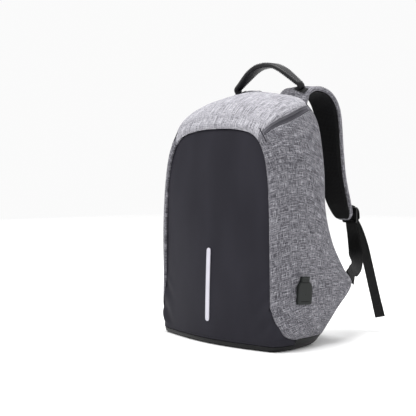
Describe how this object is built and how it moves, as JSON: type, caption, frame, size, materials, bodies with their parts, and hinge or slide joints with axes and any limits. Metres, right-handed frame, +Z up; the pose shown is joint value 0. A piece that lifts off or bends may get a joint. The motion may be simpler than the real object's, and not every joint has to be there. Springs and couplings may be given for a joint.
{
  "type": "anti theft backpack",
  "caption": "Slim backpack with a smooth black front, grey heather sides and top, padded back and straps, carry handle, reflective strip and rubber port cover.",
  "frame": {"origin": "on the flat underside of the base, on the middle plane of the bag", "axes": "+Z up, the front faces -Y, the wearer's back is at +Y"},
  "size_m": [0.3299, 0.3378, 0.5137],
  "materials": {
    "grey_heather": "matte heather weave",
    "black_coated": "smooth coated weave, soft sheen",
    "black_mesh": "matte spacer mesh",
    "black_webbing": "ribbed webbing",
    "dark_handle": "smooth, soft sheen",
    "black_plastic": "satin moulded",
    "dark_rubber": "satin",
    "pale_reflector": "reflective tape"
  },
  "bodies": {
    "root": {"top_panel": "grey_heather", "side_panel_left": "grey_heather", "side_panel_right": "grey_heather", "shoulder_strap_left": "grey_heather", "shoulder_strap_right": "grey_heather", "front_panel": "black_coated", "base_tray": "black_coated", "rear_lower_panel": "black_coated", "back_pad": "black_mesh", "strap_lining_left": "black_mesh", "strap_lining_right": "black_mesh", "adjuster_tab_left": "black_webbing", "adjuster_tab_right": "black_webbing", "lower_webbing_left": "black_webbing", "lower_webbing_right": "black_webbing", "webbing_tail_left": "black_webbing", "webbing_tail_right": "black_webbing", "webbing_anchor_left": "black_webbing", "webbing_anchor_right": "black_webbing", "handle_patch_left": "black_webbing", "handle_patch_right": "black_webbing", "carry_handle": "dark_handle", "ladder_lock_left": "black_plastic", "ladder_lock_right": "black_plastic", "usb_cover": "dark_rubber", "reflective_strip": "pale_reflector"}
  },
  "joints": []
}
